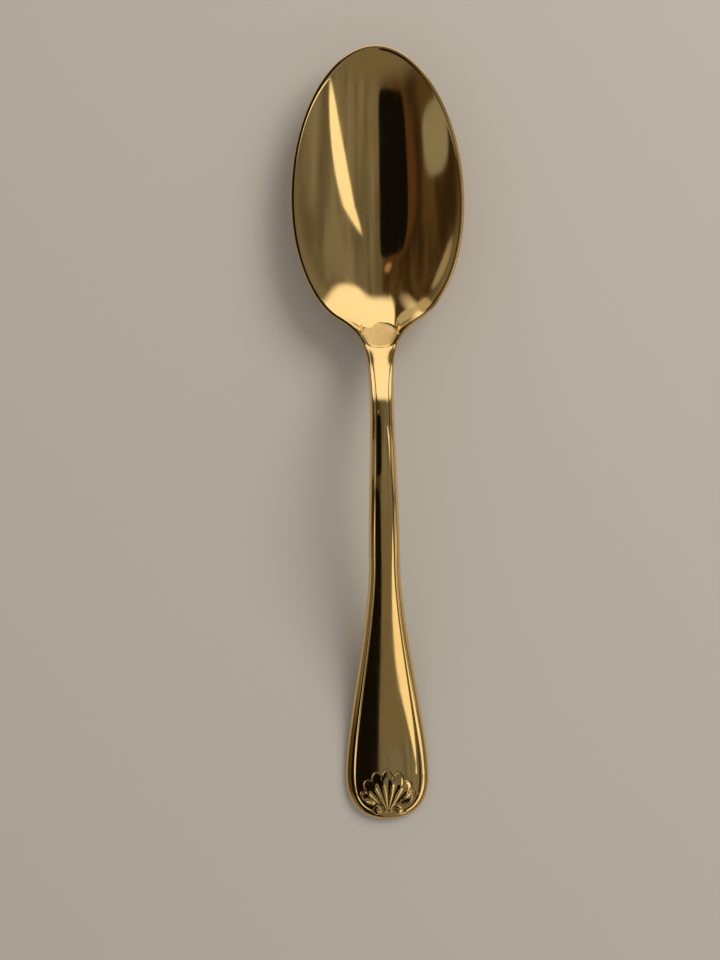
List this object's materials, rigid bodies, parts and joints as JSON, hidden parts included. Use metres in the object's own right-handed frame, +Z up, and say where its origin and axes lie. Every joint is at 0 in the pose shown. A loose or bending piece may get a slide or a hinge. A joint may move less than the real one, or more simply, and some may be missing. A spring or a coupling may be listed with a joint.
{
  "type": "teaspoon",
  "caption": "Gold-coloured teaspoon with an egg-shaped bowl, threaded handle edges and a fluted shell at the end of the handle.",
  "frame": {"origin": "on the table, below the middle of the spoon's length and width", "axes": "+Y from the handle to the tip of the bowl, +Z up out of the hollow of the bowl, X = 0 is the mirror plane"},
  "size_m": [0.0306, 0.138, 0.0154],
  "materials": {
    "gold_plate": "polished gold-coloured plating with fine wear scratches"
  },
  "bodies": {
    "root": {"bowl": "gold_plate", "neck": "gold_plate", "stem": "gold_plate", "handle": "gold_plate", "left_thread": "gold_plate", "right_thread": "gold_plate", "shell": "gold_plate", "left_scroll": "gold_plate", "right_scroll": "gold_plate"}
  },
  "joints": []
}
